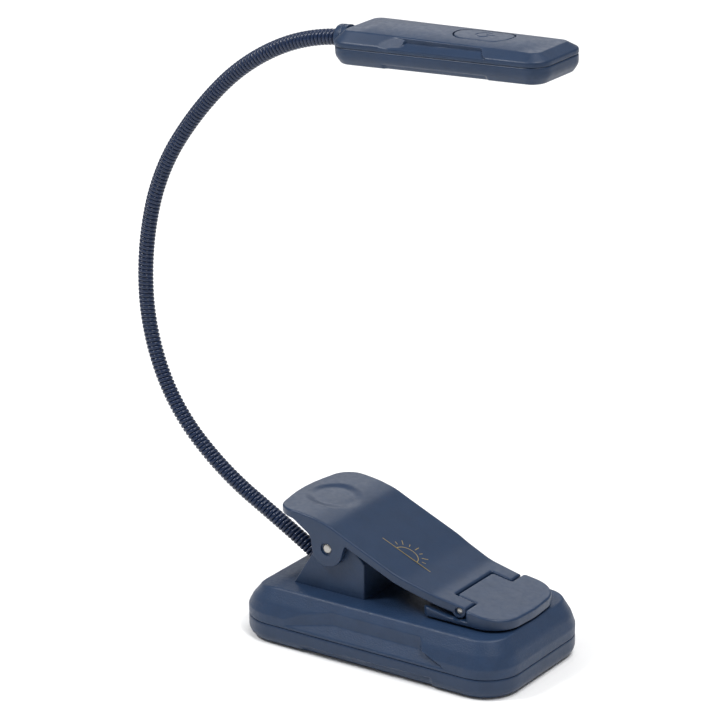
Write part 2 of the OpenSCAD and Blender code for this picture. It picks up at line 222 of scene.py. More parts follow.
def fill(loop, grid):
    """Points inside a loop on a grid, and the triangles that fill it."""
    low, high = loop.min(0), loop.max(0)
    columns = np.arange(low[0] + grid / 2, high[0], grid)
    rows = np.arange(low[1] + grid / 2, high[1], grid)
    xs, ys = np.meshgrid(columns, rows)
    points = np.column_stack([xs.ravel(), ys.ravel()])
    ahead = np.roll(loop, -1, 0)
    spans = (loop[:, 1] > points[:, 1:]) != (ahead[:, 1] > points[:, 1:])
    rise = np.where(ahead[:, 1] == loop[:, 1], 1, ahead[:, 1] - loop[:, 1])
    cross = loop[:, 0] + (points[:, 1:] - loop[:, 1]) * (ahead[:, 0] - loop[:, 0]) / rise
    inside = (spans & (points[:, :1] < cross)).sum(1) % 2 == 1
    gap = np.sqrt(((points[:, None] - loop[None]) ** 2).sum(2).min(1))
    points = points[inside & (gap > 0.55 * grid)]
    every = np.concatenate([loop, points])
    made = geometry.delaunay_2d_cdt([Vector(p) for p in every], [], [list(range(len(loop)))], 1, 1e-7)
    names = [origin[0] for origin in made[3]]
    return points, [[names[i] for i in face] for face in made[2]]


def bands(rows, size):
    """Faces between neighbouring closed rows of size points each."""
    faces = []
    for k in range(rows - 1):
        for i in range(size):
            j = (i + 1) % size
            faces.append((k * size + i, k * size + j, (k + 1) * size + j, (k + 1) * size + i))
    return faces


def shell(name, loop, rings, grids=(None, None), warp=None, place=None):
    """Closed skin through rings, each an inset of the loop and a height.

    A height is a number or a function of x and y. Each end is one face, or a grid of that pitch. warp is the
    first and last ring that a function moves, and that function; place turns the result into the row frame.
    """
    verts, size = [], len(loop)
    faces = bands(len(rings), size)

    def lifted(flat, height):
        z = height(flat[:, 0], flat[:, 1]) if callable(height) else np.full(len(flat), float(height))
        return np.column_stack([flat, z])

    for distance, height in rings:
        verts.append(lifted(inset(loop, distance), height))
    if warp:
        first, last, move = warp
        for k in range(first, last + 1):
            verts[k] = move(verts[k])
    total = size * len(rings)
    for ring, grid in zip((0, len(rings) - 1), grids, strict=True):
        rim = [ring * size + i for i in range(size)]
        if grid is None:
            faces.append(rim)
            continue
        points, triangles = fill(verts[ring][:, :2], grid)
        verts.append(lifted(points, rings[ring][1]))
        names = rim + [total + i for i in range(len(points))]
        faces += [[names[i] for i in t] for t in triangles]
        total += len(points)
    verts = np.concatenate(verts)
    return make_object(name, place(verts) if place else verts, faces)


def upright(verts):
    """From a side outline (x, z) with its depth in y to the row frame."""
    return np.column_stack([verts[:, 0], -verts[:, 2], verts[:, 1]])


def side_slab(name, corners, half_w, edge, pitch=0.4):
    """Side outline given in x and z, extruded across, with rounded edges."""
    loop = rounded(corners, pitch)
    steps = [math.radians(a) for a in range(0, 91, 15)]
    near = [(edge * (1 - math.sin(a)), -half_w + edge * (1 - math.cos(a))) for a in steps]
    rings = [(edge + 0.15, -half_w), *near, *[(d, -z) for d, z in reversed(near)], (edge + 0.15, half_w)]
    return shell(name, loop, rings, place=upright)


def lathe(name, profile, centre, axis_y=True, sides=64):
    """Turned piece about Y (or Z) through centre, from (distance along the axis, radius) pairs."""
    verts = []
    for along, radius in profile:
        for i in range(sides):
            a = 2 * math.pi * i / sides
            c, s = radius * math.cos(a), radius * math.sin(a)
            verts.append((c, along, s) if axis_y else (c, s, along))
    faces = bands(len(profile), sides)
    faces += [list(range(sides)), [(len(profile) - 1) * sides + i for i in range(sides)]]
    return make_object(name, np.array(verts) + np.array(centre, float), faces)


def combine(obj, others, how):
    """Boolean of obj with each of the others, which are used up."""
    for other in others:
        step = obj.modifiers.new(how, "BOOLEAN")
        step.operation = how
        step.solver = "EXACT"
        step.object = other
        made = bpy.data.meshes.new_from_object(obj.evaluated_get(bpy.context.evaluated_depsgraph_get()))
        obj.modifiers.clear()
        obj.data = made
        bpy.data.objects.remove(other)
    finish_normals(obj.data)
    return obj


def bar(x, z, radius, y0, y1, sides=64):
    """Round cutter along Y."""
    return lathe("cutter", [(y0, radius), (y1, radius)], (x, 0, z), sides=sides)


def drill(x, y, radius, z0, z1):
    """Round cutter along Z."""
    return lathe("cutter", [(z0, radius), (z1, radius)], (x, y, 0), axis_y=False, sides=48)


# --- materials -----------------------------------------------------------------------------
def material(name, colour, roughness, **sockets):
    """A material and its Principled shader with these socket values."""
    made = bpy.data.materials.new(name)
    made.use_nodes = True
    shader = made.node_tree.nodes["Principled BSDF"]
    shader.inputs["Base Color"].default_value = (*colour, 1)
    shader.inputs["Roughness"].default_value = roughness
    for socket, value in sockets.items():
        shader.inputs[socket.replace("_", " ")].default_value = value
    return made, made.node_tree, shader


def noise(tree, scale, detail=3.0, stretch=(1, 1, 1)):
    """Noise over the object's own coordinates; its scale is per metre."""
    place = tree.nodes.new("ShaderNodeTexCoord")
    mapping = tree.nodes.new("ShaderNodeMapping")
    mapping.inputs["Scale"].default_value = stretch
    texture = tree.nodes.new("ShaderNodeTexNoise")
    texture.inputs["Scale"].default_value = scale
    texture.inputs["Detail"].default_value = detail
    tree.links.new(place.outputs["Object"], mapping.inputs["Vector"])
    tree.links.new(mapping.outputs["Vector"], texture.inputs["Vector"])
    return texture


def spread(tree, texture, low, high, socket):
    """Drives a socket from noise, between two values or two colours."""
    steps = tree.nodes.new("ShaderNodeValToRGB")
    ends = steps.color_ramp.elements
    ends[0].position, ends[1].position = 0.3, 0.7
    ends[0].color = (*low, 1) if isinstance(low, tuple) else (low, low, low, 1)
    ends[1].color = (*high, 1) if isinstance(high, tuple) else (high, high, high, 1)
    tree.links.new(texture.outputs["Fac"], steps.inputs["Fac"])
    tree.links.new(steps.outputs["Color"], socket)


def bump(tree, shader, texture, strength, depth):
    made = tree.nodes.new("ShaderNodeBump")
    made.inputs["Strength"].default_value = strength
    made.inputs["Distance"].default_value = depth
    tree.links.new(texture.outputs["Fac"], made.inputs["Height"])
    tree.links.new(made.outputs["Normal"], shader.inputs["Normal"])


def tinted(colour, share):
    return tuple(min(1, c * share) for c in colour)


def moulded(name, colour, roughness, grain, relief):
    """Moulded plastic: slight mottling, uneven gloss and a fine spark-eroded grain."""
    made, tree, shader = material(name, colour, roughness, Specular_IOR_Level=0.36)
    spread(tree, noise(tree, 260), tinted(colour, 0.93), tinted(colour, 1.07), shader.inputs["Base Color"])
    spread(tree, noise(tree, 900), roughness - 0.05, roughness + 0.05, shader.inputs["Roughness"])
    bump(tree, shader, noise(tree, grain, 2), relief, 0.00006)
    return made


def brushed(name, colour, roughness):
    """Metal with fine marks across it."""
    made, tree, shader = material(name, colour, roughness, Metallic=1.0)
    marks = noise(tree, 1500, 4, (1, 6, 1))
    spread(tree, marks, roughness - 0.08, roughness + 0.1, shader.inputs["Roughness"])
    bump(tree, shader, noise(tree, 2600, 3, (1, 5, 1)), 0.25, 0.00003)
    return made


NAVY = (0.012, 0.029, 0.068)
PALE = (0.80, 0.82, 0.84)
shell_plastic = moulded("navy_plastic", NAVY, 0.42, 3200, 0.3)
lever_plastic = moulded("lever_plastic", NAVY, 0.33, 2600, 0.12)
grained_plastic = moulded("grained_plastic", tinted(NAVY, 1.1), 0.46, 3000, 0.9)
neck_paint = moulded("neck_paint", (0.008, 0.018, 0.050), 0.28, 2400, 0.15)
steel = brushed("pin_steel", (0.38, 0.37, 0.35), 0.36)
spring_steel = brushed("spring_steel", (0.5, 0.5, 0.52), 0.35)
rubber = moulded("grip_rubber", (0.010, 0.012, 0.018), 0.8, 2200, 0.5)
dark_plastic = moulded("dark_part", (0.03, 0.03, 0.033), 0.45, 2500, 0.3)
foil = brushed("cell_foil", (0.66, 0.67, 0.7), 0.35)
board_green = moulded("board", (0.02, 0.12, 0.05), 0.4, 1800, 0.2)
lead_red = moulded("lead_cover", (0.5, 0.03, 0.03), 0.45, 1500, 0.2)
frosted = moulded("diffuser", PALE, 0.5, 1400, 0.15)
phosphor = moulded("led_face", (0.95, 0.78, 0.25), 0.5, 2000, 0.2)
gold = brushed("gold_paint", (0.42, 0.33, 0.15), 0.45)


def dress(obj, body, finish, slot, *nodes):
    """Gives a piece its finish and its body, and hides the CAD nodes that it stands for; slot is not used."""
    obj.data.materials.clear()
    obj.data.materials.append(finish)
    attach(obj, body)
    if nodes:
        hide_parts(*nodes)
    return obj


# --- base ----------------------------------------------------------------------------------
base_loop = rounded_box(BASE_L, BASE_HALF_W, BASE_CORNER, 0.35, -BASE_L / 2)
GROOVE_WALL = 1.75         # how far in the groove's upright wall stands
GROOVE_STEP_Z = 8.3        # foot of that wall
GROOVE_FOOT_Z = 5.8        # where the groove's floor meets the side again
RUBBER_CORNER = 6          # front corners of both rubber faces
RUBBER_SHORT = 1.6         # how far they end short of the CAD solid


def base_groove(ring):
    """Carves the long groove into both sides of the upper base shell."""
    x, y, z = ring.T
    floor = GROOVE_WALL * (z - GROOVE_FOOT_Z) / (GROOVE_STEP_Z - GROOVE_FOOT_Z)
    rear = 0.14 * (x + 22)
    front = 1.1 * (np.maximum(15.9, 20.3 - 2.27 * (z - 6.65)) - x)
    depth = np.minimum.reduce([np.full_like(x, GROOVE_WALL), floor, rear, front])
    now = BASE_HALF_W - np.abs(y)
    deeper = np.where((np.abs(x) < 24) & (np.abs(y) > 15), np.maximum(now, depth), now)
    return np.column_stack([x, np.sign(y) * (BASE_HALF_W - deeper), z])


def rear_fall(verts):
    """Lets the deck round down towards the rear."""
    x, y, z = verts.T
    share = np.clip((z - 7.3) / (DECK_Z - 7.3), 0, 1)
    return np.column_stack([x, y, z - 2.0 * ramp(-x, 25, 36) * share])


def tray_recess(ring):
    """A shallow step along the lower half of the lower shell's sides."""
    x, y, z = ring.T
    line = 2.5 + 0.026 * x
    depth = 0.45 * ramp(line - z, 0.0, 0.35) * ramp(x, -17.6, -16.4) * ramp(-x, -18.6, -17.4)
    depth = np.where(np.abs(y) > 15, depth, 0)
    return np.column_stack([x, y - np.sign(y) * depth, z])


def base_cover():
    outer = rounded([(0.3, SPLIT_Z, 0), (0.12, SPLIT_Z + 0.1, 0), (0, SPLIT_Z + 0.35, 0), (0, 7.4, 1.2),
                     (0.95, 10.1, 5), (3.0, DECK_Z, 0.8), (4.3, DECK_Z, 0)], 0.2, closed=False, turn=12)
    inner = [(5.2, 11.9), (4.2, 11.9), (3.4, 11.3), (1.6, 7), (1.6, SPLIT_Z)]
    rings = inner + [tuple(p) for p in outer]
    body = shell("base_cover_shell", base_loop, rings, grids=(2.5, 1.5), place=rear_fall,
                 warp=(len(inner), len(rings) - 2, base_groove))
    side = [(-24.9, 12.4, 0), (-4.9, 12.4, 0), (-4.9, 21.9, 0.5), (-5.6, 22.9, 0.5), (-7.4, 24.3, 1.0),
            (-11.2, 27.9, 3.2), (-16.9, 27.6, 2.6), (-18.5, 22.8, 1.5)]
    tower = side_slab("tower", side, TOWER_HALF_W, 0.3)
    bay = side_slab("bay", [(-19.2, 16, 0), (-7.5, 16, 0), (-7.5, 30, 0), (-17.6, 30, 0), (-17.6, 22, 0),
                            (-16.6, 20, 0)], TOWER_HALF_W - 2.6, 0.01)
    combine(tower, [bay], "DIFFERENCE")
    combine(body, [tower], "UNION")
    port = rounded([(-4.6, 6.45, 1.7), (4.6, 6.45, 1.7), (4.6, 9.95, 1.7), (-4.6, 9.95, 1.7)], 1)
    socket_hole = shell("cutter", port, [(0, -40), (0, -31)], place=lambda v: v[:, [2, 0, 1]])
    pipe_hole = shell("cutter", circle(8.5, 8.2, 0.95), [(0, -40), (0, -31)], place=lambda v: v[:, [2, 0, 1]])
    grip_low, grip_high = box_mm("base_grip")
    bed_x, bed_y = grip_high[0] - 1.5, grip_high[1] + 0.1
    bed = rounded([(grip_low[0] - 0.1, -bed_y, 0.8), (bed_x, -bed_y, RUBBER_CORNER),
                   (bed_x, bed_y, RUBBER_CORNER), (grip_low[0] - 0.1, bed_y, 0.8)], 2)
    grip_bed = shell("cutter", bed, [(0, grip_low[2]), (0, DECK_Z + 1)])
    axis = np.array([math.cos(math.radians(NECK_HEADING)), math.sin(math.radians(NECK_HEADING))])
    neck_hole = along_neck_cutter(NECK_START - 7 * axis, NECK_START + 7 * axis, NECK_R + 0.7)
    cutters = [socket_hole, pipe_hole, grip_bed, bar(*PIN, PIN_R + PIN_PLAY, -14, 14), neck_hole]
    return combine(body, cutters, "DIFFERENCE")


def along_neck_cutter(start, end, radius, sides=40):
    """Round cutter between two points of the middle plane."""
    along = (end - start) / np.linalg.norm(end - start)
    across = np.array([-along[1], along[0]])
    verts = []
    for p in (start, end):
        for i in range(sides):
            a = 2 * math.pi * i / sides
            q = p + across * radius * math.cos(a)
            verts.append((q[0], radius * math.sin(a), q[1]))
    faces = [(i, (i + 1) % sides, sides + (i + 1) % sides, sides + i) for i in range(sides)]
    faces += [list(range(sides)), list(range(sides, 2 * sides))]
    return make_object("cutter", verts, faces)


def base_tray():
    outer = rounded([(4.2, 0, 0), (0.0, 0, 2.6), (0.0, SPLIT_Z - 0.3, 0), (0.12, SPLIT_Z - 0.06, 0),
                     (0.3, SPLIT_Z, 0)], 0.25, closed=False)
    inner = [(1.6, SPLIT_Z), (1.6, 3), (3, 1.5), (4.5, 1.5)]
    rings = [tuple(p) for p in outer] + inner
    body = shell("base_tray_shell", base_loop, rings, warp=(1, len(outer) - 3, tray_recess))
    screw_high = box_mm("base_screws")[1]
    cutters = []
    for sx in (-1, 1):
        for sy in (-1, 1):
            x, y = sx * (screw_high[0] - 1.8), sy * (screw_high[1] - 1.8)
            cutters.append(drill(x, y, 2.0, -1, 0.9))
    return combine(body, cutters, "DIFFERENCE")


def ribbed_pad(name, node, upwards, ribs):
    """Rubber face with cross ribs on the side that grips."""
    low, high = box_mm(node)
    tip = high[0] - RUBBER_SHORT
    loop = rounded([(low[0], -high[1], 0.8), (tip, -high[1], RUBBER_CORNER), (tip, high[1], RUBBER_CORNER),
                    (low[0], high[1], 0.8)], 0.4)
    period = (high[0] - low[0]) / ribs
    outside, inside = (high[2], low[2]) if upwards else (low[2], high[2])
    way = 1 if upwards else -1

    def face(x, y):
        wave = 0.5 + 0.5 * np.cos(2 * math.pi * (x - low[0]) / period)
        past_x = np.maximum(x - tip + RUBBER_CORNER, 0)
        past_y = np.maximum(np.abs(y) - high[1] + RUBBER_CORNER, 0)
        corner = RUBBER_CORNER - np.hypot(past_x, past_y)
        edge = ramp(np.minimum(corner, np.minimum(x - low[0], high[1] - np.abs(y))), 0.3, 1.0)
        return outside - way * (0.05 + 0.3 * wave * edge)

    rings = [(0.6, inside), (0, inside), (0, outside - way * 0.3), (0.08, outside - way * 0.12), (0.25, face)]
    return shell(name, loop, rings, grids=(None, 0.3))


dress(base_cover(), "base", grained_plastic, "navy_shell", "base_cover")
dress(base_tray(), "base", shell_plastic, "navy_shell", "base_tray")
dress(ribbed_pad("lower_jaw_rubber", "base_grip", True, 12), "base", rubber, "grip_rubber", "base_grip")

pin_half = LEVER_HALF_W - 0.2
pin_profile = [(-pin_half, PIN_R - 0.35), (-pin_half + 0.05, PIN_R - 0.15), (-pin_half + 0.22, PIN_R),
               (pin_half - 0.22, PIN_R), (pin_half - 0.05, PIN_R - 0.15), (pin_half, PIN_R - 0.35)]
dress(lathe("main_pin_turned", pin_profile, (PIN[0], 0, PIN[1])), "base", steel, "pin_steel", "main_pin")


def swept(name, path, radius, sides=16):
    """Round tube along a path in the row frame."""
    path = np.asarray(path, float)
    along = np.gradient(path, axis=0)
    along /= np.linalg.norm(along, axis=1)[:, None]
    across = np.cross(along[0], [0, 1, 0.3])
    verts = []
    for p, t in zip(path, along, strict=True):
        across = across - t * (across @ t)
        across /= np.linalg.norm(across)
        other = np.cross(t, across)
        for i in range(sides):
            a = 2 * math.pi * i / sides
            verts.append(p + radius * (math.cos(a) * across + math.sin(a) * other))
    faces = bands(len(path), sides)
    faces += [list(range(sides)), [(len(path) - 1) * sides + i for i in range(sides)]]
    return make_object(name, verts, faces)


def clamp_spring():
    """Torsion spring round the main pin: one leg on the base, one under the lever."""
    first, last, turns, span, coil_r = -64, 72, 7, 9.6, 2.5
    sweep = 360 * turns + last - first
    points = []
    for i in range(turns * 40 + 1):
        share = i / (turns * 40)
        a = math.radians(first + sweep * share)
        points.append((PIN[0] + coil_r * math.cos(a), span * (share - 0.5), PIN[1] + coil_r * math.sin(a)))
    a0, a1 = math.radians(first), math.radians(last)
    foot = [np.array(points[0]) + s * np.array([math.sin(a0), 0, -math.cos(a0)]) for s in (4.0, 2.0, 0.6)]
    hook = [np.array(points[-1]) + s * np.array([-math.sin(a1), 0, math.cos(a1)]) for s in (0.6, 4, 9.2)]
    return swept("clamp_spring_coil", foot + points + hook, 0.45)


spring = clamp_spring()
spring.data.materials.append(spring_steel)
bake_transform(spring)
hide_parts("clamp_spring")

# --- lever ---------------------------------------------------------------------------------
LEVER_T = 1.7
SKIRT = 0.5
LEVER_EDGE = 0.4
EAR_R = 4.3
SLOT_X = 16.8
ARM_TIP = 22.05
ARM_FACE = 11.93       # how far out the arms' sides stand at the jaw pin
KNUCKLE_R = ARM_TIP - JAW_PIN[0]
TONGUE_HALF = 7.85
lever_line = smoothed([(-32, 31.9), (-22.8, 32.05), (-18, 31.5), (-13.5, 30.4), (-10, 28.8), (6.6, 21.7),
                       (14, 19.2), (24, 17.35)], 1.0)
ear_points = [(-32, 31.0), (-24.8, 30.9), (-22.3, 29.3), (-18.9, 27.1)]
for step in range(160, 351, 10):
    a = math.radians(step)
    ear_points.append((PIN[0] + EAR_R * math.cos(a), PIN[1] + EAR_R * math.sin(a)))
ear_points += [(-9.45, 25.2), (-8.9, 26.2), (-8.2, 27.5), (-6, 40)]
ear_line = smoothed(ear_points, 0.18, 0.03)


def lever_top(x, y):
    """Top of the lever with its round thumb dish."""
    out = np.hypot((x + 21.0) / 6.4, (y + 0.4) / 6.6)
    dish = 0.45 * (1 - ramp(out, 0.7, 1.08)) * (1 - 0.45 * ramp(x, -24, -15))
    return lever_line(x) - dish


def lever_low(x, y):
    """Lower edge of the lever's side: a thin skirt, and the ears round the pin."""
    side = np.abs(y) > LEVER_HALF_W - EAR_T - 0.7
    thin = lever_line(x) - LEVER_T - 0.05 - (SKIRT - 0.05) * ramp(x, -27, -21)
    low = np.where(side, np.minimum(thin, ear_line(x)), thin)
    along = x - JAW_PIN[0]
    knuckle = JAW_PIN[1] - np.sqrt(np.clip(KNUCKLE_R ** 2 - along ** 2, 0, None))
    return np.where(along > 0, knuckle, np.where(along > -KNUCKLE_R, np.minimum(low, knuckle), low))


def lever_ceiling(x, y):
    """Underside of the lever between its sides."""
    return np.maximum(lever_line(x) - LEVER_T, lever_low(x, y) + 0.2)


def lever():
    corners = [(-27.6, -LEVER_HALF_W, 5.2), (4, -LEVER_HALF_W, 8), (13, -12.6, 8), (ARM_TIP, -11.9, 0),
               (ARM_TIP, -TONGUE_HALF, 0), (SLOT_X, -TONGUE_HALF, 0.4)]
    mirrored = [(x, -y, r) for x, y, r in reversed(corners)]
    loop = rounded(corners + mirrored + [(-30.3, 0, 34)], 0.3, turn=6)
    steps = [math.radians(a) for a in range(0, 91, 15)]
    rings = [(LEVER_EDGE + 0.4, lever_top)]
    for a in reversed(steps):
        drop = LEVER_EDGE * (1 - math.sin(a))
        rings.append((LEVER_EDGE * (1 - math.cos(a)), lambda x, y, d=drop: lever_line(x) - d))
    foot, lip = 0.25, 0.2
    for share in (0.12, 0.25, 0.4, 0.55, 0.7, 0.85, 1):
        rings.append((0, lambda x, y, s=share: (1 - s) * (lever_line(x) - LEVER_EDGE)
                      + s * (lever_low(x, y) + foot)))
    for a in steps[1:]:
        lift = foot * (1 - math.sin(a))
        rings.append((foot * (1 - math.cos(a)), lambda x, y, d=lift: lever_low(x, y) + d))
    rings.append((EAR_T - lip, lever_low))
    rings.append((EAR_T, lambda x, y: lever_low(x, y) + lip))
    for share in (0.3, 0.6, 1):
        rings.append((EAR_T, lambda x, y, s=share: (1 - s) * (lever_low(x, y) + lip)
                      + s * lever_ceiling(x, y)))
    rings.append((EAR_T + 0.3, lever_ceiling))
    body = shell("lever_moulding", loop, rings, grids=(0.35, 0.8))
    cutters = [bar(*PIN, PIN_R + PIN_PLAY, -16, 16), bar(*JAW_PIN, JAW_PIN_R + PIN_PLAY, -14, 14)]
    for side in (-1, 1):
        outer = side * LEVER_HALF_W
        cutters.append(bar(*PIN, PIN_R + 0.45, outer - 0.35, outer + 0.35))
        tip = side * ARM_FACE
        cutters.append(bar(*JAW_PIN, JAW_PIN_R + 0.3, tip - 0.25, tip + 0.25))
    return combine(body, cutters, "DIFFERENCE")


dress(lever(), "lever", lever_plastic, "navy_shell", "lever")


def strokes(name, lines, half_width, proud):
    """Painted lines on the lever's top, each a thin closed ribbon that follows the surface."""
    verts, faces = [], []
    for line in lines:
        line = np.asarray(line, float)
        along = np.gradient(line, axis=0)
        along /= np.linalg.norm(along, axis=1)[:, None]
        side = half_width * along[:, ::-1] * (-1, 1)
        first = len(verts)
        for p, q in zip(line, side, strict=True):
            for corner, lift in ((p - q, -0.1), (p + q, -0.1), (p + q, proud), (p - q, proud)):
                verts.append((corner[0], corner[1], float(lever_top(*corner)) + lift))
        for k in range(len(line) - 1):
            for i in range(4):
                j = (i + 1) % 4
                a, b = first + 4 * k, first + 4 * k + 4
                faces.append((a + i, a + j, b + j, b + i))
        faces += [tuple(range(first, first + 4)), tuple(range(len(verts) - 4, len(verts)))]
    return make_object(name, verts, faces)


SUN_MIDDLE = np.array([2.0, -5.2])
SUN_R = 2.7
HORIZON_HALF = 6.5


def ray(angle, start, end):
    """Straight line out from the middle of the sun."""
    way = np.array([math.cos(angle), math.sin(angle)])
    return [SUN_MIDDLE + way * start, SUN_MIDDLE + way * end]


rim_angles = np.linspace(0.001, math.pi - 0.001, 25)
sun_lines = [[SUN_MIDDLE + SUN_R * np.array([math.cos(a), math.sin(a)]) for a in rim_angles]]
sun_lines.append([SUN_MIDDLE + (-HORIZON_HALF, 0), SUN_MIDDLE + (HORIZON_HALF, 0)])
for angle in (22.5, 45, 67.5, 90, 112.5, 135, 157.5):
    reach = 2.4 if angle % 45 == 0 else 1.8
    sun_lines.append(ray(math.radians(angle), SUN_R + 0.9, SUN_R + reach))
dress(strokes("lever_sunrise_ornament", sun_lines, 0.095, 0.02), "lever", gold, "pin_steel")

tip_half = ARM_FACE - 0.12
tip_profile = [(-tip_half, JAW_PIN_R - 0.22), (-tip_half + 0.14, JAW_PIN_R), (tip_half - 0.14, JAW_PIN_R),
               (tip_half, JAW_PIN_R - 0.22)]
jaw_pin = lathe("jaw_pin_turned", tip_profile, (JAW_PIN[0], 0, JAW_PIN[1]), sides=40)
dress(jaw_pin, "lever", steel, "pin_steel", "jaw_pin")

# --- jaw pad -------------------------------------------------------------------------------
PAD_HALF = 12.9
PAD_TIP = 33.3
PAD_Z = 13.95


def pad_top(x, _y):
    return np.interp(x, [17, 22.4, PAD_TIP], [18.45, 17.6, 16.15])


def pad_tail_top(x, _y):
    return np.interp(x, [11, 12, 18.4, 25], [16.0, 16.15, 15.0, 15.0])


def edge_rings(top, low, edge, foot=0.25):
    """Rings of a plate from its rounded upper edge to its rounded lower edge."""
    steps = [math.radians(a) for a in range(0, 91, 15)]
    rings = [(edge + 0.4, top)]
    for a in reversed(steps):
        drop = edge * (1 - math.sin(a))
        rings.append((edge * (1 - math.cos(a)), lambda x, y, d=drop: top(x, y) - d))
    for share in (0.33, 0.66):
        rings.append((0, lambda x, y, s=share: (1 - s) * (top(x, y) - edge) + s * (low + foot)))
    for a in steps:
        rings.append((foot * (1 - math.cos(a)), low + foot * (1 - math.sin(a))))
    rings.append((foot + 0.4, low))
    return rings


def jaw_pad():
    half = TONGUE_HALF - 0.28
    corners = [(17.15, -half, 0.9), (22.45, -half, 0.3), (22.45, -PAD_HALF, 0.9),
               (PAD_TIP - 1, -PAD_HALF, 7.2), (PAD_TIP, 0, 25)]
    mirrored = [(x, -y, r) for x, y, r in reversed(corners[:-1])]
    loop = rounded(corners + mirrored, 0.35)
    body = shell("jaw_pad_moulding", loop, edge_rings(pad_top, PAD_Z, 0.42), grids=(0.7, None))
    tail_corners = [(11, -PAD_HALF, 1.9), (23.4, -PAD_HALF, 0), (23.4, PAD_HALF, 0), (11, PAD_HALF, 1.9)]
    tail = shell("tail", rounded(tail_corners, 0.4), edge_rings(pad_tail_top, PAD_Z, 0.25), grids=(0.7, None))
    combine(body, [tail], "UNION")
    bed = rounded([(13.2, -11.1, 0.8), (30.2, -11.1, 6), (30.2, 11.1, 6), (13.2, 11.1, 0.8)], 2)
    cutters = [shell("cutter", bed, [(0, PAD_Z - 1), (0, PAD_Z + 0.55)])]
    cutters.append(bar(*JAW_PIN, JAW_PIN_R + PIN_PLAY, -14, 14))
    for side in (-1, 1):
        cutters.append(bar(*JAW_PIN, 2.0, min(side * 7.6, side * 13.5), max(side * 7.6, side * 13.5)))
    return combine(body, cutters, "DIFFERENCE")


dress(jaw_pad(), "jaw", lever_plastic, "navy_shell", "jaw_pad")
dress(ribbed_pad("upper_jaw_rubber", "jaw_grip", False, 11), "jaw", rubber, "grip_rubber", "jaw_grip")


# --- neck ----------------------------------------------------------------------------------
def neck_line(s):
    """Centre (x, z) and heading in degrees of the neck at arc length s from its start."""
    p, heading = NECK_START.copy(), NECK_HEADING
    if s <= 0:
        a = math.radians(heading)
        return p + s * np.array([math.cos(a), math.sin(a)]), heading
    for turn in NECK_TURNS:
        part = min(s, NECK_STEP)
        bend = turn * part / NECK_STEP
        half = math.radians(bend) / 2
        middle = math.radians(heading) - half
        chord = part * (math.sin(half) / half if half else 1)
        p = p + chord * np.array([math.cos(middle), math.sin(middle)])
        heading -= bend
        s -= part
        if s <= 0:
            return p, heading
    a = math.radians(heading)
    return p + s * np.array([math.cos(a), math.sin(a)]), heading


RIDGE = 1.0            # pitch of the wound wire
VALLEY_DEPTH = 0.43    # how far its valleys lie inside the neck's radius
BEAD_HEIGHT = 0.42     # how far a bead stands up from its valley
ROWS, COLUMNS = 9, 32  # mesh rows for each turn of the wire, and points round it
NECK_CORE_R = NECK_R - 0.44    # just inside the valleys


def ridge_radius(share):
    """Radius over one turn of the wound wire: a round bead with a narrow dark valley."""
    t = 2 * share - 1
    return NECK_R - VALLEY_DEPTH + BEAD_HEIGHT * math.sqrt(max(0, 1 - abs(t) ** 2.6))


def neck_piece(name, start, end):
    """Wound tube between two arc lengths, its mesh along the winding so that every valley stays crisp."""
    turns = round((end - start) / RIDGE)
    verts, faces = [], []
    for i in range(turns * ROWS + 1):
        for j in range(COLUMNS):
            s = start + RIDGE * (i / ROWS + j / COLUMNS)
            centre, heading = neck_line(s)
            radius = ridge_radius(i / ROWS % 1)
            a = 2 * math.pi * j / COLUMNS
            h = math.radians(heading)
            across = radius * math.cos(a)
            x, z = centre[0] - across * math.sin(h), centre[1] + across * math.cos(h)
            verts.append((x, radius * math.sin(a), z))
    rows = turns * ROWS
    for i in range(rows):
        for j in range(COLUMNS - 1):
            k = i * COLUMNS + j
            faces.append((k, k + 1, k + COLUMNS + 1, k + COLUMNS))
        if i + 1 + ROWS <= rows:
            k = i * COLUMNS + COLUMNS - 1
            faces.append((k, (i + ROWS) * COLUMNS, (i + ROWS + 1) * COLUMNS, k + COLUMNS))
    low_end = list(range(COLUMNS)) + [i * COLUMNS for i in range(ROWS, 0, -1)]
    top = rows * COLUMNS
    top_end = [(rows - ROWS + i) * COLUMNS + COLUMNS - 1 for i in range(0, ROWS + 1)]
    high_end = [top + j for j in range(COLUMNS - 1)] + top_end[::-1]
    faces += [low_end[::-1], high_end]
    return make_object(name, verts, faces)


def joints_of_neck():
    """The neck's joints in order from the base to the head."""
    joints = [j for j in frame["joints"] if j["name"].startswith("neck_")]
    return sorted(joints, key=lambda j: int(j["name"].split("_")[-1]))


def neck_core(number):
    """Ball inside the winding at a joint where two stretches of it fold against each other."""
    x, z = neck_line(NECK_STEP * number)[0]
    angles = [math.radians(a) for a in range(-84, 85, 12)]
    profile = [(NECK_CORE_R * math.sin(a), NECK_CORE_R * math.cos(a)) for a in angles]
    return lathe(f"neck_core_{number}", profile, (x, 0, z), sides=32)


# The winding is one piece round joint 1 and each sway joint, and is split at the fold joints between them.
neck_joints = joints_of_neck()
BENT_AT = (1, 2, 4, 6, 8)
SPLIT_AT = (3, 5, 7)
BEND_REACH = 9.0
edges = [-NECK_TAIL + 0.4, 1.5 * NECK_STEP, 3 * NECK_STEP, 5 * NECK_STEP, 7 * NECK_STEP]
edges.append(9 * NECK_STEP + HEAD_GAP + 1.6)
edges = [edges[0] + RIDGE * round((e - edges[0]) / RIDGE) for e in edges]
for number, start, end in zip(BENT_AT, edges, edges[1:]):
    piece = neck_piece(f"neck_winding_{number}", start, end)
    piece.data.materials.append(neck_paint)
    low_point = neck_line(NECK_STEP * number - BEND_REACH)[0]
    high_point = neck_line(NECK_STEP * number + BEND_REACH)[0]
    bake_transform(piece)
    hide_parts(*(["neck_1"] if number == 1 else [f"neck_{number}", f"neck_{number + 1}"]))
